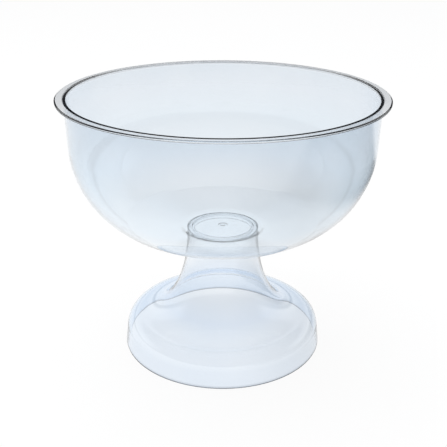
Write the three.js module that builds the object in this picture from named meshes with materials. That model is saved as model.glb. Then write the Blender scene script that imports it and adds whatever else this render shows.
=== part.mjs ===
// A clear plastic dessert bowl on a pedestal foot: two thin mouldings that plug together.
// Millimetres, +Z up. The origin is the centre of the circle on which the foot stands.
// Both pieces are turned outlines: each point is (distance from the axis, height).

import * as THREE from 'three';

// Foot
const footRadius = 65.3; // outside, on the table
const footHeight = 78.7; // table to the top of the neck
const footWall = 1.3;
const skirtHeight = 11.5; // the straight leaning stretch above the table
const skirtLean = 6.9; // degrees from upright
const shoulderRadius = 10; // outside round between the skirt and the dome
const neckRadius = 23; // outside of the neck at its top
const flareLowPull = 0.465; // share of the way to the neck that the flare runs level at first
const flareHighPull = 0.7; // share of its height that the flare runs upright at last
const seatShelf = 1.6; // how far the neck's top turns inwards past its wall

// Plug: the ring under the bowl that goes down through the neck's top.
const spigotLength = 3;
const spigotWall = 1.2;
const spigotLeadIn = 0.3; // bevel on its lower outer edge
const plugClearance = 0.3; // all round the ring
const seatGap = 0.3; // between the neck's top and the bowl

// Bowl
const bowlHeight = 89.1; // under the floor to the top of the lip
const bowlWall = 1.2;
const floorThickness = 1.5;
const seatMargin = 2; // flat underside past the neck
const bottomRadius = 61.8; // outside corner between the shallow bottom and the side
const bottomRise = 7.05; // how far that corner is above the underside
const knuckleInnerRadius = 1.6; // inside round at that corner
const mouthRadius = 95; // outside of the wall, under the lip
const wallHeight = 27.8; // the straight wall under the lip
const wallDraft = 1.7; // degrees from upright
const lipReach = 5; // the lip past the wall
const lipRise = 0.6; // how far the lip's edge is above its root
const lipThickness = 1.3;
const lipEdgeRound = 0.4;
const lipInnerRound = 0.3;
const lipUnderRound = 0.8;

// Mark that the mould's gate leaves in the middle of the floor
const gateRadius = 3;
const gateDepth = 0.25;
const gatePipRadius = 1.4;
const gateBevel = 0.3;

// Fineness
const turnSteps = 64;
const sideSteps = 10;
const flareSteps = 16;
const shoulderSteps = 6;
const roundSteps = 3;

const neckBore = neckRadius - footWall;
const neckHole = neckBore - seatShelf;
const spigotRadius = neckHole - plugClearance;
const floorUnder = footHeight + seatGap;
const floorTop = floorUnder + floorThickness;
const lipTop = floorUnder + bowlHeight;
const quarterTurn = Math.PI / 2;

function at(radius, height) {
  return new THREE.Vector2(radius, height);
}

// The point that lies `distance` from `start` at `angle` from the level outward direction.
function polar(start, distance, angle) {
  return at(start.x + distance * Math.cos(angle), start.y + distance * Math.sin(angle));
}

function arc(centre, radius, from, to, steps) {
  const curve = new THREE.EllipseCurve(centre.x, centre.y, radius, radius, from, to, to < from);
  return curve.getPoints(steps);
}

// A rounded corner: a curve that leaves one side and joins the other `reach` from where they meet.
function rounded(before, corner, after, reach) {
  const start = before.clone().sub(corner).setLength(reach).add(corner);
  const end = after.clone().sub(corner).setLength(reach).add(corner);
  return new THREE.QuadraticBezierCurve(start, corner, end).getPoints(roundSteps);
}

// The same line moved to its left by `distance`, each point along the mean normal of its two sides.
function movedLeft(points, distance) {
  const sides = points.slice(1).map((point, i) => point.clone().sub(points[i]).normalize());
  return points.map((point, i) => {
    const before = sides[Math.max(i - 1, 0)];
    const after = sides[Math.min(i, sides.length - 1)];
    const along = before.clone().add(after).normalize();
    return at(point.x - distance * along.y, point.y + distance * along.x);
  });
}

function turned(name, outline, material) {
  const geometry = new THREE.LatheGeometry(outline, turnSteps);
  geometry.rotateX(quarterTurn);
  const mesh = new THREE.Mesh(geometry, material);
  mesh.name = name;
  return mesh;
}

// Foot: up the outside from the table to the neck's top, in over its shelf, then down the inside.
function footOutline() {
  const lean = THREE.MathUtils.degToRad(skirtLean);
  const skirtTop = at(footRadius - skirtHeight * Math.tan(lean), skirtHeight);
  const shoulderCentre = polar(skirtTop, -shoulderRadius, lean);
  const shoulder = arc(shoulderCentre, shoulderRadius, lean, quarterTurn, shoulderSteps);
  const domeEdge = shoulder.at(-1);
  const neckTop = at(neckRadius, footHeight);
  const lowHandle = at(THREE.MathUtils.lerp(domeEdge.x, neckTop.x, flareLowPull), domeEdge.y);
  const highHandle = at(neckTop.x, THREE.MathUtils.lerp(neckTop.y, domeEdge.y, flareHighPull));
  const flare = new THREE.CubicBezierCurve(domeEdge, lowHandle, highHandle, neckTop).getPoints(flareSteps);

  const outside = [at(footRadius, 0), ...shoulder, ...flare.slice(1)];
  const inside = movedLeft(outside, footWall).slice(1, -1);
  const shelfUnder = footHeight - footWall;
  const shelf = [at(neckHole, footHeight), at(neckHole, shelfUnder), at(neckBore, shelfUnder)];
  const rimInner = at(footRadius - footWall / Math.cos(lean), 0);
  return [...outside, ...shelf, ...inside.reverse(), rimInner, outside[0]];
}

// Bowl side: an arc that leaves the wall smoothly and ends on the bottom corner, and a small round
// there that blends it into the shallow bottom. Both are kept by centre, so the inside is the same
// pair of arcs, one wall smaller.
function bowlSide() {
  const draft = THREE.MathUtils.degToRad(wallDraft);
  const wallTop = at(mouthRadius, lipTop - lipThickness - lipRise);
  const wallFoot = at(mouthRadius - wallHeight * Math.tan(draft), wallTop.y - wallHeight);
  const corner = at(bottomRadius, floorUnder + bottomRise);
  const seatEdge = at(neckRadius + seatMargin, floorUnder);

  const inward = polar(at(0, 0), -1, -draft);
  const chord = corner.clone().sub(wallFoot);
  const sideRadius = chord.lengthSq() / (2 * chord.dot(inward));
  const sideCentre = polar(wallFoot, -sideRadius, -draft);

  const knuckleRadius = knuckleInnerRadius + bowlWall;
  const slope = Math.atan2(corner.y - seatEdge.y, corner.x - seatEdge.x);
  const along = polar(at(0, 0), 1, slope);
  const start = polar(seatEdge, knuckleRadius, slope + quarterTurn).sub(sideCentre);
  const half = start.dot(along);
  const reach = Math.sqrt(half ** 2 - start.lengthSq() + (sideRadius - knuckleRadius) ** 2) - half;
  const knuckleCentre = start.add(sideCentre).addScaledVector(along, reach);
  const meeting = knuckleCentre.clone().sub(sideCentre).angle() - 2 * Math.PI;

  return { draft, wallTop, slope, seatEdge, sideRadius, sideCentre, knuckleRadius, knuckleCentre, meeting };
}

// The shallow bottom's end, the knuckle and the side, from the bottom up, `inset` inside the outer face.
function sideCurve(side, inset) {
  const knuckleEnd = side.slope - quarterTurn;
  const knuckle = arc(side.knuckleCentre, side.knuckleRadius - inset, knuckleEnd, side.meeting, roundSteps);
  const flank = arc(side.sideCentre, side.sideRadius - inset, side.meeting, -side.draft, sideSteps);
  return [...knuckle, ...flank.slice(1)];
}

// Lip: a thin flange that rises a little outwards, with all its corners rounded.
function lipOutline(draft, wallTop, outerFoot, innerFoot) {
  const edgeRound = Math.min(lipEdgeRound, lipThickness / 2);
  const edgeLow = at(mouthRadius + lipReach, lipTop - lipThickness);
  const edgeTop = at(edgeLow.x, lipTop);
  const tilt = lipRise / lipReach;
  const wallLevel = bowlWall / Math.cos(draft);
  const climb = (lipThickness - wallLevel * tilt) / (1 - tilt * Math.tan(draft));
  const mouthEdge = at(mouthRadius - wallLevel + climb * Math.tan(draft), wallTop.y + climb);
  return [
    ...rounded(outerFoot, wallTop, edgeLow, lipUnderRound),
    ...rounded(wallTop, edgeLow, edgeTop, edgeRound),
    ...rounded(edgeLow, edgeTop, mouthEdge, edgeRound),
    ...rounded(edgeTop, mouthEdge, innerFoot, lipInnerRound),
  ];
}

// Gate mark: a shallow round dimple with a flat pip in it, from its edge to the axis.
function gateOutline() {
  const dimpleFloor = floorTop - gateDepth;
  return [
    at(gateRadius, floorTop),
    at(gateRadius - gateBevel, dimpleFloor),
    at(gatePipRadius + gateBevel, dimpleFloor),
    at(gatePipRadius, floorTop),
    at(0, floorTop),
  ];
}

// Bowl: out under the floor and round the spigot, up the outside, over the lip and down the inside.
function bowlOutline() {
  const side = bowlSide();
  const outer = sideCurve(side, 0);
  const inner = sideCurve(side, bowlWall).reverse();
  const spigotEnd = floorUnder - spigotLength;
  const spigotBore = spigotRadius - spigotWall;
  const bottomRun = (floorThickness - bowlWall / Math.cos(side.slope)) / Math.tan(side.slope);
  const spigot = [
    at(spigotBore, floorUnder),
    at(spigotBore, spigotEnd),
    at(spigotRadius - spigotLeadIn, spigotEnd),
    at(spigotRadius, spigotEnd + spigotLeadIn),
    at(spigotRadius, floorUnder),
  ];
  return [
    at(0, floorUnder),
    ...spigot,
    side.seatEdge,
    ...outer,
    ...lipOutline(side.draft, side.wallTop, outer.at(-1), inner[0]),
    ...inner,
    at(side.seatEdge.x + bottomRun, floorTop),
    ...gateOutline(),
  ];
}

const bowlPlastic = new THREE.MeshStandardMaterial({ color: 0xe6edf5, roughness: 0.08, metalness: 0 });
bowlPlastic.transparent = true;
bowlPlastic.opacity = 0.3;

const footPlastic = new THREE.MeshStandardMaterial({ color: 0xe2eaf3, roughness: 0.1, metalness: 0 });
footPlastic.transparent = true;
footPlastic.opacity = 0.3;

const dessertBowl = new THREE.Group();
dessertBowl.add(turned('foot', footOutline(), footPlastic));
dessertBowl.add(turned('bowl', bowlOutline(), bowlPlastic));

export default dessertBowl;
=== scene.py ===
import bpy
import numpy as np
from mathutils import Matrix, Vector


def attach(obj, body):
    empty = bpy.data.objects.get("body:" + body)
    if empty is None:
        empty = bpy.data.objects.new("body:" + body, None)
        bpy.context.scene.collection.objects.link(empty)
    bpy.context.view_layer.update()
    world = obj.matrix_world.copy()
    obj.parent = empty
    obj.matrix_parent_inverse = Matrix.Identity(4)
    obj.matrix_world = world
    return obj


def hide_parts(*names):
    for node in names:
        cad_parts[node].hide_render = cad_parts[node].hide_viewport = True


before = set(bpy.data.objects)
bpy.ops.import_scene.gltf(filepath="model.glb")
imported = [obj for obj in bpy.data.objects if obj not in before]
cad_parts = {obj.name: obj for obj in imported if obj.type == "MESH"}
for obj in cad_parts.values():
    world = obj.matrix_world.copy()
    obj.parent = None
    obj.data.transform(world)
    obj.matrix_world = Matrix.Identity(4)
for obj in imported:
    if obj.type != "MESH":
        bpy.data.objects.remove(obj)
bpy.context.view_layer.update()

mm = 0.001


# outlines are points of (distance from the axis, height) in millimetres, joined from runs of points
def arcRun(centre, radius, start, end, count):  # points at even angles on a circle
    a = np.linspace(start, end, count)
    return np.stack([centre[0] + radius * np.cos(a), centre[1] + radius * np.sin(a)], 1)


# the arc that touches both sides of a corner; a rounding is its radius and its number of points
def cornerRound(before, corner, after, rounding):
    radius, count = rounding
    before, corner, after = (np.asarray(p, float) for p in (before, corner, after))
    u = (before - corner) / np.linalg.norm(before - corner)
    v = (after - corner) / np.linalg.norm(after - corner)
    half = np.arccos(np.clip(u @ v, -1, 1)) / 2
    centre = corner + (u + v) / np.linalg.norm(u + v) * radius / np.sin(half)
    first = corner + u * radius / np.tan(half) - centre
    last = corner + v * radius / np.tan(half) - centre
    start = np.arctan2(first[1], first[0])
    sweep = np.arctan2(last[1], last[0]) - start
    sweep = (sweep + np.pi) % (2 * np.pi) - np.pi
    return arcRun(centre, radius, start, start + sweep, count)


# even points along a straight stretch, the first and last held close to its ends to keep the shading flat
def straightRun(a, b, step=1.6, hold=0.08):
    length = np.linalg.norm(b - a)
    if length < 3 * hold:  # too short to need any
        return np.zeros((0, 2))
    inside = np.linspace(hold, length - hold, max(2, int(np.ceil(length / step)) + 1))
    return a + (b - a) / length * inside[:, None]


def joinRuns(runs, touching=1e-6):  # the runs in order, with straight stretches between them
    out = [runs[0]]
    for run in runs[1:]:
        gap = np.linalg.norm(run[0] - out[-1][-1])
        out.append(straightRun(out[-1][-1], run[0]))
        out.append(run if gap > touching else run[1:])
    return np.concatenate([run for run in out if len(run)])


# clear plastic bowl, in millimetres and degrees; a pair is a round's radius and its number of points
bowl = {
    "turns": 232,
    "floorUnder": 79.0,  # underside of the floor, above the table
    "height": 88.42,  # from there to the top of the lip's edge, before its roll
    "wall": 1.2,
    "floorThickness": 1.5,
    "seatRadius": 25.0,  # level underside, over the neck
    "seatRound": (12.0, 7),
    "floorRound": (25.0, 7),
    "bottomRadius": 61.8,  # corner between the shallow bottom and the side
    "bottomRise": 7.05,  # that corner above the underside
    "knuckleInner": 1.6,  # inside round at that corner
    "knucklePoints": 13,
    "sidePoints": 60,
    "mouthRadius": 95.0,  # outside of the wall, under the lip
    "wallHeight": 27.8,  # straight wall under the lip
    "wallDraft": 1.7,  # from upright
    "wallSwell": 0.5,  # how much thicker the straight wall grows up to the mouth
    "lipReach": 5.0,  # past the wall
    "lipFall": 0.08,  # from the wall to the edge
    "lipThickness": 1.3,
    "lipUnderRound": (0.3, 11),
    "lipInnerRound": (0.3, 11),
    "lipCrown": 95.9,  # radius of the highest line on the lip
    "crownSlope": 0.06,  # of the lip's top from the mouth to the crown
    "crownRound": (6.0, 9),
    "lipRoll": 1.8,  # radius of the rolled outer edge
    "lipRollFrom": 98.8,
    "lipRollPoints": 24,
    "lipEdgeWidth": 0.4,  # the roll ends this far inside the edge
    "lipEdgeRound": (0.2, 9),
    "spigotLength": 3.0,  # ring under the floor that plugs into the neck
    "spigotRadius": 19.8,
    "spigotWall": 1.2,
    "spigotLeadIn": (0.3, 7),
    "spigotEndRound": (0.15, 7),
    "spigotInnerRoot": (0.15, 7),
    "spigotOuterRoot": (0.1, 4),
    "gateRadius": 3.0,  # mark of the mould's gate: a dimple with a pip in it
    "gateDepth": 0.2,
    "gatePip": 1.4,
    "gateRound": (0.1, 5),
    "edges": ((94.2, 167.4, 0.6, 1.0),),  # painted shade along the lip's inner edge, in the form the rim function below takes
}


# side of the bowl: an arc that leaves the straight wall smoothly and a small knuckle that blends it
# into the shallow bottom, both kept by centre so that the inside is the same pair one wall smaller
def bowlSide(p):
    draft = np.radians(p["wallDraft"])
    lipUnder = p["floorUnder"] + p["height"] - p["lipThickness"]
    wallTop = np.array([p["mouthRadius"], lipUnder + p["lipFall"]])
    wallFoot = wallTop - p["wallHeight"] * np.array([np.tan(draft), 1])
    corner = np.array([p["bottomRadius"], p["floorUnder"] + p["bottomRise"]])
    seat = np.array([p["seatRadius"], p["floorUnder"]])
    inward = np.array([-np.cos(draft), np.sin(draft)])
    chord = corner - wallFoot
    sideRadius = chord @ chord / (2 * chord @ inward)
    sideCentre = wallFoot + sideRadius * inward
    knuckle = p["knuckleInner"] + p["wall"]
    slope = np.arctan2(corner[1] - seat[1], corner[0] - seat[0])
    along = np.array([np.cos(slope), np.sin(slope)])
    start = seat + knuckle * np.array([-np.sin(slope), np.cos(slope)]) - sideCentre
    half = start @ along
    reach = np.sqrt(half ** 2 - start @ start + (sideRadius - knuckle) ** 2) - half
    knuckleCentre = start + sideCentre + along * reach
    toKnuckle = knuckleCentre - sideCentre
    meeting = np.arctan2(toKnuckle[1], toKnuckle[0])

    def flank(inset):  # knuckle and side from the bottom up, inset from the outer face
        low = arcRun(knuckleCentre, knuckle - inset, slope - np.pi / 2, meeting, p["knucklePoints"])
        high = arcRun(sideCentre, sideRadius - inset, meeting, -draft, p["sidePoints"])
        return np.concatenate([low, high[1:]])

    return draft, slope, seat, corner, wallFoot, wallTop, flank


# out under the floor and round the spigot, up the outside, over the lip, down the inside to the gate mark
def bowlOutline(p):
    draft, slope, seat, corner, wallFoot, wallTop, flank = bowlSide(p)
    under = p["floorUnder"]
    floorTop = under + p["floorThickness"]
    inner = flank(p["wall"])[::-1]

    # the lip's top climbs from the mouth to a soft crown, then runs out and rolls over at its edge
    edgeTop = np.array([p["mouthRadius"] + p["lipReach"], under + p["height"]])
    edgeLow = edgeTop - [0, p["lipThickness"]]
    tilt = -p["lipFall"] / p["lipReach"]
    wallLevel = p["wall"] / np.cos(draft)
    climb = (p["lipThickness"] - wallLevel * tilt) / (1 - tilt * np.tan(draft))
    mouth = wallTop[0] + climb * np.tan(draft) - wallLevel - p["wallSwell"]
    crown = np.array([p["lipCrown"], edgeTop[1] - (edgeTop[0] - p["lipCrown"]) * tilt])
    mouthEdge = np.array([mouth, crown[1] - (crown[0] - mouth) * p["crownSlope"]])
    lean = np.arctan(tilt)
    rollStart = crown + (p["lipRollFrom"] - crown[0]) * np.array([1, tilt])
    rollCentre = rollStart + p["lipRoll"] * np.array([np.sin(lean), -np.cos(lean)])
    rollEnd = np.arccos((edgeTop[0] - p["lipEdgeWidth"] - rollCentre[0]) / p["lipRoll"])
    roll = arcRun(rollCentre, p["lipRoll"], rollEnd, np.pi / 2 + lean, p["lipRollPoints"])
    rollEdge = np.array([edgeTop[0], roll[0, 1] - p["lipEdgeWidth"] / np.tan(rollEnd)])

    spigotEnd = under - p["spigotLength"]
    bore, ring = p["spigotRadius"] - p["spigotWall"], p["spigotRadius"]
    bottomRun = (p["floorThickness"] - p["wall"] / np.cos(slope)) / np.tan(slope)
    floorEdge = np.array([seat[0] + bottomRun, floorTop])
    gate, pip, deep = p["gateRadius"], p["gatePip"], p["gateDepth"]
    dimple = floorTop - deep
    return joinRuns([
        np.array([[0, under]]),
        cornerRound((0, under), (bore, under), (bore, spigotEnd), p["spigotInnerRoot"]),
        cornerRound((bore, under), (bore, spigotEnd), (ring, spigotEnd), p["spigotEndRound"]),
        cornerRound((bore, spigotEnd), (ring, spigotEnd), (ring, under), p["spigotLeadIn"]),
        cornerRound((ring, spigotEnd), (ring, under), seat, p["spigotOuterRoot"]),
        cornerRound((ring, under), seat, corner, p["seatRound"]),
        flank(0),
        cornerRound(wallFoot, wallTop, edgeLow, p["lipUnderRound"]),
        cornerRound(wallTop, edgeLow, rollEdge, p["lipEdgeRound"]),
        cornerRound(edgeLow, rollEdge, roll[0], p["lipEdgeRound"]),
        roll,
        cornerRound(roll[-1], crown, mouthEdge, p["crownRound"]),
        cornerRound(crown, mouthEdge, inner[0], p["lipInnerRound"]),
        inner,
        cornerRound(inner[-1], floorEdge, (0, floorTop), p["floorRound"]),
        cornerRound(floorEdge, (gate, floorTop), (gate - deep, dimple), p["gateRound"]),
        cornerRound((gate, floorTop), (gate - deep, dimple), (0, dimple), p["gateRound"]),
        cornerRound((gate, dimple), (pip + deep, dimple), (pip, floorTop), p["gateRound"]),
        cornerRound((pip + deep, dimple), (pip, floorTop), (0, floorTop), p["gateRound"]),
        np.array([[0, floorTop]]),
    ])


# hollow pedestal foot, given in the same way
foot = {
    "turns": 224,
    "radius": 65.3,  # outside, on the table
    "height": 78.7,
    "wall": 1.3,
    "rimRound": (0.25, 7),
    "skirtHeight": 11.5,
    "skirtLean": 6.9,  # from upright
    "shoulderRadius": 10.0,
    "shoulderPoints": 24,
    "lowPull": 14.4,  # how far the flare's curve is pulled inwards at the dome
    "highPull": 40.8,  # and downwards at the neck
    "flarePoints": 72,
    "neckRadius": 23.0,
    "neckWall": 0.6,  # at the neck's top
    "neckThinning": 8,  # the wall keeps its thickness longer the higher this power is
    "neckEdge": (0.15, 7),
    "holeRadius": 20.1,
    "holeEdge": (0.1, 7),
    "shelfRound": (0.2, 7),
    "roundRoom": 0.2,  # the flare stops this far short of the rounds at the neck's top
    # painted shade along the bottom of the rim, outside and inside
    "edges": ((65.2, 0.0, 0.7, 0.8), (64.1, 0.0, 0.7, 0.8)),
}


# up the outside from the table to the neck's top, in over its shelf, then down the inside: a leaning skirt,
# a shoulder arc and one cubic curve to the neck, moved one wall inwards along its normal for the inside
def footOutline(p):
    lean = np.radians(p["skirtLean"])
    wall, top, hole = p["wall"], p["height"], p["holeRadius"]
    skirtTop = np.array([p["radius"] - p["skirtHeight"] * np.tan(lean), p["skirtHeight"]])
    centre = skirtTop - p["shoulderRadius"] * np.array([np.cos(lean), np.sin(lean)])
    shoulder = arcRun(centre, p["shoulderRadius"], lean, np.pi / 2, p["shoulderPoints"])
    shoulderIn = arcRun(centre, p["shoulderRadius"] - wall, lean, np.pi / 2, p["shoulderPoints"])

    dome, neck = shoulder[-1], np.array([p["neckRadius"], top])
    low, high = dome - [p["lowPull"], 0], neck - [0, p["highPull"]]
    t = np.linspace(0, 1, p["flarePoints"])[:, None]
    s = 1 - t
    flare = s ** 3 * dome + 3 * s ** 2 * t * low + 3 * s * t ** 2 * high + t ** 3 * neck
    heading = s ** 2 * (low - dome) + 2 * s * t * (high - low) + t ** 2 * (neck - high)
    heading /= np.linalg.norm(heading, axis=1)[:, None]
    thick = wall + (p["neckWall"] - wall) * t ** p["neckThinning"]
    flareIn = flare + thick * np.stack([-heading[:, 1], heading[:, 0]], 1)
    shelf = top - wall
    flare = flare[flare[:, 1] < top - p["neckEdge"][0] - p["roundRoom"]]
    flareIn = flareIn[flareIn[:, 1] < shelf - p["shelfRound"][0] - p["roundRoom"]]

    bore = neck[0] - p["neckWall"]
    rim, rimIn = np.array([p["radius"], 0.0]), np.array([p["radius"] - wall / np.cos(lean), 0.0])
    outline = joinRuns([
        cornerRound(rimIn, rim, skirtTop, p["rimRound"]),
        shoulder,
        flare[1:],
        cornerRound((neck[0], shelf), neck, (hole, top), p["neckEdge"]),
        cornerRound(neck, (hole, top), (hole, shelf), p["holeEdge"]),
        cornerRound((hole, top), (hole, shelf), (bore, shelf), p["holeEdge"]),
        cornerRound((hole, shelf), (bore, shelf), (bore, shelf - wall), p["shelfRound"]),
        flareIn[::-1],
        shoulderIn[::-1][1:],
        cornerRound(shoulderIn[0], rimIn, rim, p["rimRound"]),
    ])
    return np.concatenate([outline, straightRun(outline[-1], outline[0])])


# painted shade: how far each point of an outline belongs to a dark rim, painted where light running along the
# plastic shows dark: the greatest of strength * exp(-(distance / reach)^2); a rim: radius, height, reach,
# strength
def rimShade(outline, edges):
    tone = np.zeros(len(outline))
    for radius, height, reach, strength in edges:
        distance = np.linalg.norm(outline - [radius, height], axis=1)
        tone = np.maximum(tone, strength * np.exp(-(distance / reach) ** 2))
    return tone


# outline carried round the axis: x = r cos a, y = r sin a, z = height, with quads between neighbouring
# turns; an outline that ends on the axis gets a fan at each end, and one that closes on itself none.
# The plastic is on the left of the outline, so the faces point outwards.
def spunPiece(name, outline, edges, turns, onAxis, material):
    ring = outline[1:-1] if onAxis else outline
    # painted shade of the rims, one value at each point
    tone = np.repeat(rimShade(ring, edges), turns)
    count = len(ring)
    a = np.arange(turns) * 2 * np.pi / turns
    r, z = ring[:, 0, None] * mm, ring[:, 1, None] * mm
    points = np.stack([r * np.cos(a), r * np.sin(a), np.broadcast_to(z, (count, turns))], -1).reshape(-1, 3)
    i, j = np.meshgrid(np.arange(count - 1 if onAxis else count), np.arange(turns), indexing="ij")
    up, across = (i + 1) % count * turns, (j + 1) % turns
    faces = np.stack([i * turns + j, i * turns + across, up + across, up + j], -1).reshape(-1, 4).tolist()
    if onAxis:
        here = np.arange(turns)
        there = (here + 1) % turns
        poles = np.array([[0, 0, outline[0, 1]], [0, 0, outline[-1, 1]]]) * mm
        lowFan = np.stack([np.full(turns, len(points)), there, here], 1)
        highFan = np.stack([np.full(turns, len(points) + 1), here, there], 1)
        highFan[:, 1:] += (count - 1) * turns
        points = np.concatenate([points, poles])
        tone = np.append(tone, [0, 0])
        faces += lowFan.tolist() + highFan.tolist()
    mesh = bpy.data.meshes.new(name)
    mesh.from_pydata(points.tolist(), [], faces)
    mesh.polygons.foreach_set("use_smooth", np.ones(len(mesh.polygons), bool))
    mesh.attributes.new("rimShade", "FLOAT", "POINT").data.foreach_set("value", tone.astype(np.float32))
    mesh.materials.append(material)
    piece = bpy.data.objects.new(name, mesh)
    bpy.context.scene.collection.objects.link(piece)
    print(name, "outline", count, "points,", len(mesh.polygons), "faces")
    return piece


def addNode(tree, kind, at, **values):  # a node with its properties and plain socket values set
    node = tree.nodes.new(kind)
    node.location = at
    for key, value in values.items():
        if hasattr(node, key):
            setattr(node, key, value)
        else:
            node.inputs[key.replace("_", " ")].default_value = value
    return node


def mathNode(tree, operation, at, *terms):  # arithmetic on sockets and plain values
    node = addNode(tree, "ShaderNodeMath", at, operation=operation)
    for socket, term in zip(node.inputs, terms):
        if isinstance(term, bpy.types.NodeSocket):
            tree.links.new(term, socket)
        else:
            socket.default_value = term
    return node.outputs["Value"]


def softStep(tree, value, span, levels, at):  # goes smoothly from one level to the other over a span
    node = addNode(tree, "ShaderNodeMapRange", at, interpolation_type="SMOOTHSTEP",
                   From_Min=span[0], From_Max=span[1], To_Min=levels[0], To_Max=levels[1])
    tree.links.new(value, node.inputs["Value"])
    return node.outputs["Result"]


def splitAxes(tree, vector, at):  # X, Y and Z of a vector
    node = addNode(tree, "ShaderNodeSeparateXYZ", at)
    tree.links.new(vector, node.inputs["Vector"])
    return node.outputs


def fillRamp(ramp, stops):  # colour stops of a ramp, in order
    elements = ramp.color_ramp.elements
    elements.remove(elements[1])
    for n, (position, colour) in enumerate(stops):
        stop = elements[0] if n == 0 else elements.new(position)
        stop.position = position
        stop.color = (*colour, 1)


def grey(level):
    return (level, level, level, 1)


# marks of the mould on both plastics; scales are per metre, spans are the stretch of the noise that shows
mouldMarks = {
    "cloudScale": 22.0,
    "cloudDetail": 2.0,
    "cloudSpan": (0.35, 0.65),
    "scuffScale": 160.0,
    "scuffDetail": 3.0,
    "scuffBend": 1.5,
    "scuffSpan": (0.62, 0.74),
    "waveDetail": 1.0,
    "waveRoughness": 0.4,
}


# look of the clear moulding, used by both plastics: faint clouds in the given tint, which carries painted
# shade, thin scuffs that raise the roughness, and broad waves of the mould as a height
def mouldedFinish(p):
    group = bpy.data.node_groups.new("mouldedFinish", "ShaderNodeTree")
    inputs = {
        "Coordinates": "NodeSocketVector",
        "Tint": "NodeSocketColor",
        "Cloud": "NodeSocketFloat",
        "Gloss": "NodeSocketFloat",
        "Scuff": "NodeSocketFloat",
        "Wave Scale": "NodeSocketFloat",
    }
    outputs = {"Color": "NodeSocketColor", "Roughness": "NodeSocketFloat", "Height": "NodeSocketFloat"}
    for way, sockets in (("INPUT", inputs), ("OUTPUT", outputs)):
        for name, kind in sockets.items():
            group.interface.new_socket(name, in_out=way, socket_type=kind)
    link = group.links.new
    given = addNode(group, "NodeGroupInput", (-900, 0)).outputs
    out = addNode(group, "NodeGroupOutput", (700, 0)).inputs

    cloud = addNode(group, "ShaderNodeTexNoise", (-600, 300), Scale=p["cloudScale"], Detail=p["cloudDetail"])
    cloudy = addNode(group, "ShaderNodeMapRange", (-400, 300),
                     From_Min=p["cloudSpan"][0], From_Max=p["cloudSpan"][1])
    tone = addNode(group, "ShaderNodeMix", (-50, 300), data_type="RGBA", B=grey(1))
    link(given["Coordinates"], cloud.inputs["Vector"])
    link(cloud.outputs["Fac"], cloudy.inputs["Value"])
    link(mathNode(group, "MULTIPLY", (-250, 200), cloudy.outputs["Result"], given["Cloud"]),
         tone.inputs["Factor"])
    link(given["Tint"], tone.inputs["A"])
    link(tone.outputs["Result"], out["Color"])

    scratch = addNode(group, "ShaderNodeTexNoise", (-600, 0), Scale=p["scuffScale"],
                      Detail=p["scuffDetail"], Distortion=p["scuffBend"])
    thin = addNode(group, "ShaderNodeMapRange", (-400, 0),
                   From_Min=p["scuffSpan"][0], From_Max=p["scuffSpan"][1])
    link(given["Coordinates"], scratch.inputs["Vector"])
    link(scratch.outputs["Fac"], thin.inputs["Value"])
    link(mathNode(group, "MULTIPLY_ADD", (-150, 0), thin.outputs["Result"], given["Scuff"], given["Gloss"]),
         out["Roughness"])

    wave = addNode(group, "ShaderNodeTexNoise", (-600, -300), Detail=p["waveDetail"],
                   Roughness=p["waveRoughness"])
    link(given["Coordinates"], wave.inputs["Vector"])
    link(given["Wave Scale"], wave.inputs["Scale"])
    link(wave.outputs["Fac"], out["Height"])
    return group


# clear plastics: tints with painted shade by height in millimetres, wave height in millimetres, wave scale
# and density per metre
bowlFinish = {
    # the plastic's cool hue, with painted shade that darkens the wall from the floor up to just under the
    # lip; the lip stays nearly clear
    "shadedTints": (
        (76.0, (1.0, 1.0, 1.0)),
        (90.0, (0.995, 1.0, 1.0)),
        (108.0, (0.895, 0.95, 0.995)),
        (130.0, (0.805, 0.865, 0.915)),
        (152.0, (0.81, 0.85, 0.895)),
        (165.5, (0.775, 0.82, 0.87)),
        (166.6, (0.99, 0.995, 1.0)),
    ),
    "cloud": 0.12,
    "gloss": 0.015,
    "scuff": 0.04,
    "waveScale": 28.0,
    "waveHeight": 0.08,
    "ior": 1.58,
    "absorb": (0.62, 0.79, 0.93),
    "density": 40.0,
    # colour of the painted shade along the lip's inner edge
    "rimShadeColour": (0.03, 0.03, 0.05),
}
footFinish = {
    # the plastic's cool hue, with painted shade in darker and lighter bands by height
    "shadedTints": (
        (0.0, (0.81, 0.875, 0.955)),
        (10.0, (0.81, 0.875, 0.955)),
        (15.0, (0.87, 0.93, 1.0)),
        (21.0, (0.86, 0.925, 1.0)),
        (28.0, (0.77, 0.85, 0.955)),
        (40.0, (0.79, 0.845, 0.91)),
        (50.0, (0.88, 0.915, 0.955)),
        (60.0, (0.985, 0.992, 1.0)),
        (78.7, (1.0, 1.0, 1.0)),
    ),
    "cloud": 0.12,
    "gloss": 0.015,
    "scuff": 0.05,
    "waveScale": 34.0,
    "waveHeight": 0.1,
    "ior": 1.58,
    "absorb": (0.62, 0.79, 0.93),
    "density": 40.0,
    # colour of the painted shade along the bottom of the rim
    "rimShadeColour": (0.42, 0.46, 0.52),
}
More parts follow.
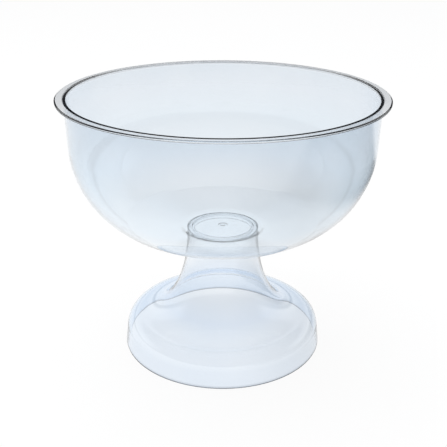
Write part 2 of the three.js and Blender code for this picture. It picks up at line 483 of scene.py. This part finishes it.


# clear plastic: the moulded finish on a transmitting gloss surface, tinted by height with painted shade in
# the tint, darkened with painted shade along the piece's rims, and with a cool colour that grows with the
# path inside
def clearPlastic(name, p, finish):
    material = bpy.data.materials.new(name)
    material.use_nodes = True
    tree = material.node_tree
    link = tree.links.new
    surface = tree.nodes["Principled BSDF"]
    surface.inputs["Transmission Weight"].default_value = 1.0
    surface.inputs["IOR"].default_value = p["ior"]
    place = addNode(tree, "ShaderNodeTexCoord", (-1200, 0)).outputs["Object"]

    # tint by height, with painted shade in it
    low, high = p["shadedTints"][0][0], p["shadedTints"][-1][0]
    rise = addNode(tree, "ShaderNodeMapRange", (-850, 200), From_Min=low * mm, From_Max=high * mm)
    shadedTints = addNode(tree, "ShaderNodeValToRGB", (-700, 200))
    fillRamp(shadedTints, [((z - low) / (high - low), colour) for z, colour in p["shadedTints"]])
    link(splitAxes(tree, place, (-1000, 200))["Z"], rise.inputs["Value"])
    link(rise.outputs["Result"], shadedTints.inputs["Fac"])

    look = addNode(tree, "ShaderNodeGroup", (-400, 0), node_tree=finish, Cloud=p["cloud"],
                   Gloss=p["gloss"], Scuff=p["scuff"], Wave_Scale=p["waveScale"])
    relief = addNode(tree, "ShaderNodeBump", (-220, -250), Strength=1.0, Distance=p["waveHeight"] * mm)
    link(place, look.inputs["Coordinates"])
    link(shadedTints.outputs["Color"], look.inputs["Tint"])
    link(look.outputs["Roughness"], surface.inputs["Roughness"])
    link(look.outputs["Height"], relief.inputs["Height"])
    link(relief.outputs["Normal"], surface.inputs["Normal"])

    # painted shade along the rims, mixed into the base colour
    rim = addNode(tree, "ShaderNodeAttribute", (-400, 300), attribute_name="rimShade")
    shade = addNode(tree, "ShaderNodeMix", (-200, 200), data_type="RGBA", B=(*p["rimShadeColour"], 1))
    link(rim.outputs["Fac"], shade.inputs["Factor"])
    link(look.outputs["Color"], shade.inputs["A"])
    link(shade.outputs["Result"], surface.inputs["Base Color"])

    inside = addNode(tree, "ShaderNodeVolumeAbsorption", (0, -450), Color=(*p["absorb"], 1),
                     Density=p["density"])
    link(inside.outputs["Volume"], tree.nodes["Material Output"].inputs["Volume"])
    return material


finish = mouldedFinish(mouldMarks)
bowlPiece = spunPiece("clear_bowl", bowlOutline(bowl), bowl["edges"], bowl["turns"], True,
                      clearPlastic("bowl_plastic", bowlFinish, finish))
footPiece = spunPiece("pedestal_foot", footOutline(foot), foot["edges"], foot["turns"], False,
                      clearPlastic("foot_plastic", footFinish, finish))
for piece, node in ((bowlPiece, "bowl"), (footPiece, "foot")):
    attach(piece, node)
    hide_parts(node)
print("pieces placed on the bodies bowl and foot")


# studio round the part, in metres
def emptyTree(holder):  # nodes of a material or a world, cleared
    holder.use_nodes = True
    holder.node_tree.nodes.clear()
    return holder.node_tree


def mixedSurface(tree, first, second, share):  # two shaders mixed by a share, as the material's surface
    both = addNode(tree, "ShaderNodeMixShader", (400, 0))
    out = addNode(tree, "ShaderNodeOutputMaterial", (600, 0))
    tree.links.new(share, both.inputs["Fac"])
    tree.links.new(first.outputs[0], both.inputs[1])
    tree.links.new(second.outputs[0], both.inputs[2])
    tree.links.new(both.outputs["Shader"], out.inputs["Surface"])


def studioPiece(name, points, faces, material):
    mesh = bpy.data.meshes.new(name)
    mesh.from_pydata(points.tolist(), [], faces)
    mesh.materials.append(material)
    piece = bpy.data.objects.new(name, mesh)
    bpy.context.scene.collection.objects.link(piece)
    return piece


def flatSheet(name, wide, deep, level, material):  # a level rectangle about its origin
    corners = np.array([[-1, -1, 0], [1, -1, 0], [1, 1, 0], [-1, 1, 0]]) * [wide / 2, deep / 2, 0]
    return studioPiece(name, corners + [0, 0, level], [(0, 1, 2, 3)], material)


# pale floor: plain white to the eye and in the plastic, with the object's shadow kept in the diffuse share,
# and a soft shade to the right of the bowl that shows through the plastic alone
stageLook = {
    "wide": 50.0,
    "level": -0.0002,
    "shade": 0.9,  # of the diffuse share
    "share": 0.95,  # of plain white, to the eye and in the plastic
    "dim": 0.18,  # depth of the shade at the right
    "dimSide": (0.0, 0.08),  # it grows from the axis to the right
    "dimReach": (0.15, 0.55),  # and fades away from the bowl
}


def paleStage(p):
    material = bpy.data.materials.new("pale_stage")
    tree = emptyTree(material)
    matt = addNode(tree, "ShaderNodeBsdfDiffuse", (200, 100), Color=grey(p["shade"]))
    glow = addNode(tree, "ShaderNodeEmission", (200, -100))
    seen = addNode(tree, "ShaderNodeLightPath", (-500, 0)).outputs
    place = addNode(tree, "ShaderNodeTexCoord", (-900, -300)).outputs["Object"]
    away = addNode(tree, "ShaderNodeVectorMath", (-700, -500), operation="LENGTH")
    tree.links.new(place, away.inputs[0])

    right = splitAxes(tree, place, (-700, -300))["X"]
    side = softStep(tree, right, p["dimSide"], (0.0, -p["dim"]), (-500, -300))
    near = softStep(tree, away.outputs["Value"], p["dimReach"], (1.0, 0.0), (-500, -550))
    dim = mathNode(tree, "MULTIPLY", (-250, -300), side, near)
    level = mathNode(tree, "MULTIPLY_ADD", (-80, -200), seen["Is Transmission Ray"], dim, 1.0)
    tree.links.new(level, glow.inputs["Strength"])

    direct = mathNode(tree, "MAXIMUM", (-250, 100), seen["Is Camera Ray"], seen["Is Glossy Ray"])
    sight = mathNode(tree, "MAXIMUM", (-80, 100), direct, seen["Is Transmission Ray"])
    mixedSurface(tree, matt, glow, mathNode(tree, "MULTIPLY", (60, 250), sight, p["share"]))
    floor = flatSheet("floor", p["wide"], p["wide"], p["level"], material)


# low round screen about the floor, white in the plastic, that fades out towards its top and to the right
screenLook = {
    "radius": 0.8,
    "turns": 96,
    "top": 0.21,
    "whiteTo": 0.14,
    "dimSide": (0.2, 0.6),
    "dim": 0.7,  # how much of the white is gone at the right
}


def lowScreen(p):
    material = bpy.data.materials.new("low_screen")
    tree = emptyTree(material)
    clear = addNode(tree, "ShaderNodeBsdfTransparent", (200, 100))
    glow = addNode(tree, "ShaderNodeEmission", (200, -100))
    seen = addNode(tree, "ShaderNodeLightPath", (-500, 100)).outputs
    axes = splitAxes(tree, addNode(tree, "ShaderNodeTexCoord", (-700, -200)).outputs["Object"], (-500, -200))
    fade = softStep(tree, axes["Z"], (p["whiteTo"], p["top"]), (1.0, 0.0), (-300, -200))
    side = softStep(tree, axes["X"], p["dimSide"], (1.0, 1.0 - p["dim"]), (-300, -450))
    white = mathNode(tree, "MULTIPLY", (-100, -200), fade, side)
    plastic = mathNode(tree, "MAXIMUM", (-300, 100), seen["Is Glossy Ray"], seen["Is Transmission Ray"])
    mixedSurface(tree, clear, glow, mathNode(tree, "MULTIPLY", (0, 0), plastic, white))

    here = np.arange(p["turns"])
    there = (here + 1) % p["turns"]
    a = here * 2 * np.pi / p["turns"]
    ring = np.stack([np.cos(a), np.sin(a), np.zeros(len(a))], 1) * p["radius"]
    walls = np.stack([here, there, there + len(a), here + len(a)], 1)
    screen = studioPiece("screen", np.concatenate([ring, ring + [0, 0, p["top"]]]), walls.tolist(), material)


# dark grey card with soft edges on the floor to the right, which only shows as a reflection in the gloss
sideCard = {"at": (0.50, 0.0, 0.001), "wide": 0.70, "deep": 0.70, "soft": 0.09, "shade": 0.03}


def greyCard(p):
    material = bpy.data.materials.new("grey_card")
    tree = emptyTree(material)
    clear = addNode(tree, "ShaderNodeBsdfTransparent", (200, 100))
    matt = addNode(tree, "ShaderNodeBsdfDiffuse", (200, -100), Color=grey(p["shade"]))
    place = addNode(tree, "ShaderNodeTexCoord", (-900, 0)).outputs["Object"]
    side = addNode(tree, "ShaderNodeVectorMath", (-700, 0), operation="ABSOLUTE")
    tree.links.new(place, side.inputs[0])
    axes = splitAxes(tree, side.outputs["Vector"], (-500, 0))
    within = [softStep(tree, axes[axis], (size / 2 - p["soft"], size / 2), (1.0, 0.0), (-300, y))
              for axis, size, y in (("X", p["wide"], 0), ("Y", p["deep"], -250))]
    mixedSurface(tree, clear, matt, mathNode(tree, "MULTIPLY", (0, 0), *within))
    card = flatSheet("card", p["wide"], p["deep"], 0, material)
    card.location = p["at"]
    card.visible_camera = card.visible_transmission = card.visible_diffuse = card.visible_shadow = False


# soft room as levels by the height of a direction, from -1 straight down to 1 straight up: behind the bowl a
# dim edge above the floor and then a pale wall, which starts lower through the plastic; on the camera's side
# a dim wall; and a dim ceiling. Reflections and the floor see it; to the eye, and straight through the
# plastic, it is plain white.
roomLook = {
    "near": (
        (-1.0, 0.4),
        (0.05, 0.4),
        (0.20, 0.25),
        (1.0, 0.22),
    ),
    "far": (
        (-1.0, 0.04),
        (0.235, 0.04),
        (0.33, 1.0),
        (0.50, 0.8),
        (0.64, 0.3),
        (0.80, 0.22),
        (1.0, 0.22),
    ),
    "through": (
        (-1.0, 0.06),
        (0.08, 0.06),
        (0.17, 0.95),
        (0.36, 1.0),
        (0.50, 0.8),
        (0.64, 0.3),
        (0.80, 0.22),
        (1.0, 0.22),
    ),
    "dimHue": (0.87, 0.94, 1.18),
    "turn": 0.25,  # half the width of the change from the camera's side to behind
    "glossShare": 0.02,  # how much a plain reflection sees of the lower wall
}


def roomColour(level, hue):  # white at a level of 1, and nearer to the hue the dimmer it is
    return [level * (part + (1 - part) * level) for part in hue]


def softRoom(p):
    world = bpy.data.worlds.new("soft_room")
    bpy.context.scene.world = world
    tree = emptyTree(world)
    link = tree.links.new
    out = addNode(tree, "ShaderNodeOutputWorld", (1000, 0))
    back = addNode(tree, "ShaderNodeBackground", (800, 0))
    seen = addNode(tree, "ShaderNodeLightPath", (-200, -750)).outputs
    toward = addNode(tree, "ShaderNodeTexCoord", (-600, 0)).outputs["Generated"]
    axes = splitAxes(tree, toward, (-400, 0))
    height = addNode(tree, "ShaderNodeMapRange", (-200, 100), From_Min=-1.0, From_Max=1.0)
    link(axes["Z"], height.inputs["Value"])
    levels = {}
    for n, name in enumerate(("near", "far", "through")):
        ramp = addNode(tree, "ShaderNodeValToRGB", (0, 300 - 250 * n))
        ramp.color_ramp.interpolation = "EASE"
        fillRamp(ramp, [((z + 1) / 2, roomColour(level, p["dimHue"])) for z, level in p[name]])
        link(height.outputs["Result"], ramp.inputs["Fac"])
        levels[name] = ramp.outputs["Color"]

    def blended(first, share, at):  # a colour that gives way to a second one, B, by a share
        mix = addNode(tree, "ShaderNodeMix", at, data_type="RGBA")
        link(first, mix.inputs["A"])
        link(share, mix.inputs["Factor"])
        return mix

    through = mathNode(tree, "MULTIPLY_ADD", (0, -600),
                       seen["Is Glossy Ray"], p["glossShare"], seen["Is Transmission Ray"])
    behind = blended(levels["far"], through, (300, -100))
    link(levels["through"], behind.inputs["B"])
    side = softStep(tree, axes["Y"], (-p["turn"], p["turn"]), (0.0, 1.0), (-200, -200))
    walls = blended(levels["near"], side, (450, 0))
    link(behind.outputs["Result"], walls.inputs["B"])

    # white for rays from the eye, and for those through the plastic that no reflection has turned
    direct = mathNode(tree, "MAXIMUM", (0, -800), seen["Is Camera Ray"], seen["Is Transmission Ray"])
    unturned = mathNode(tree, "LESS_THAN", (0, -950), seen["Glossy Depth"], 0.5)
    straight = mathNode(tree, "MULTIPLY", (200, -850), direct, unturned)
    view = blended(walls.outputs["Result"], straight, (600, 0))
    view.inputs["B"].default_value = grey(1)
    link(view.outputs["Result"], back.inputs["Color"])
    link(back.outputs["Background"], out.inputs["Surface"])


# soft lamp above, with its power in watts, which lights the floor only
ceilingBox = {"at": (-0.3, 0.2, 1.9), "aim": (0, 0, 0.12), "wide": 1.6, "power": 48.0}


def softbox(p):
    data = bpy.data.lights.new("ceiling_box", "AREA")
    data.shape = "SQUARE"
    data.size = p["wide"]
    data.energy = p["power"]
    lamp = bpy.data.objects.new("ceiling_box", data)
    bpy.context.scene.collection.objects.link(lamp)
    lamp.location = p["at"]
    toBowl = Vector(p["aim"]) - lamp.location
    lamp.rotation_euler = toBowl.to_track_quat("-Z", "Y").to_euler()
    lamp.visible_camera = lamp.visible_glossy = lamp.visible_transmission = False


paleStage(stageLook)
lowScreen(screenLook)
greyCard(sideCard)
softRoom(roomLook)
softbox(ceilingBox)
print("floor, screen, card, room and softbox set")

# camera at the photograph's place, in metres and degrees
eye = {
    "focalPixels": 753.05,  # focal length in pixels of the photograph
    "framePixels": 447,  # width of the photograph
    "sensor": 36,  # in millimetres
    "at": (0.00048, -0.44692, 0.27444),
    "down": 23.322247,  # below level
    "roll": 0.27,
}
lens = bpy.data.cameras.new("eye")
lens.sensor_width = eye["sensor"]
lens.lens = eye["sensor"] * eye["focalPixels"] / eye["framePixels"]
camera = bpy.data.objects.new("eye", lens)
bpy.context.scene.collection.objects.link(camera)
camera.location = eye["at"]
turnDown = Matrix.Rotation(np.radians(90 - eye["down"]), 3, "X")
camera.rotation_euler = (turnDown @ Matrix.Rotation(np.radians(eye["roll"]), 3, "Z")).to_euler()
bpy.context.scene.camera = camera
bpy.context.scene.view_settings.view_transform = "Standard"
print("camera set")
